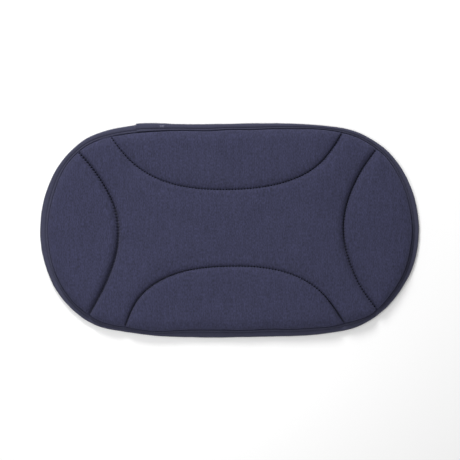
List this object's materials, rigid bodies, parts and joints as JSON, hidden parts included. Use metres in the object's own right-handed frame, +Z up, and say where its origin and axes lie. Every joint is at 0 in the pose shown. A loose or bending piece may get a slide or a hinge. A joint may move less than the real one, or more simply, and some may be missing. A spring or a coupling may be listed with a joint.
{
  "type": "quilted seat pad",
  "caption": "Flat elongated-oval foam pad, melange knit face quilted by arc seams, with a folded tape binding round the edge.",
  "frame": {"origin": "middle of the base plane, at the centre of the pad's length and width", "axes": "+X along the pad's length, +Y across its width, +Z up out of the quilted face"},
  "size_m": [0.4552, 0.2576, 0.016],
  "materials": {
    "face_knit": "matte",
    "back_knit": "matte",
    "foam": "matte",
    "edge_tape": "matte",
    "thread": "satin"
  },
  "bodies": {
    "root": {"face_fabric": "face_knit", "foam_core": "foam", "back_fabric": "back_knit", "edge_binding": "edge_tape", "binding_needle_thread": "thread", "binding_bobbin_thread": "thread", "lap_bar_tack": "thread", "quilt_needle_thread_left": "thread", "quilt_bobbin_thread_left": "thread", "quilt_needle_thread_upper": "thread", "quilt_bobbin_thread_upper": "thread", "quilt_needle_thread_right": "thread", "quilt_bobbin_thread_right": "thread", "quilt_needle_thread_lower": "thread", "quilt_bobbin_thread_lower": "thread"}
  },
  "joints": []
}
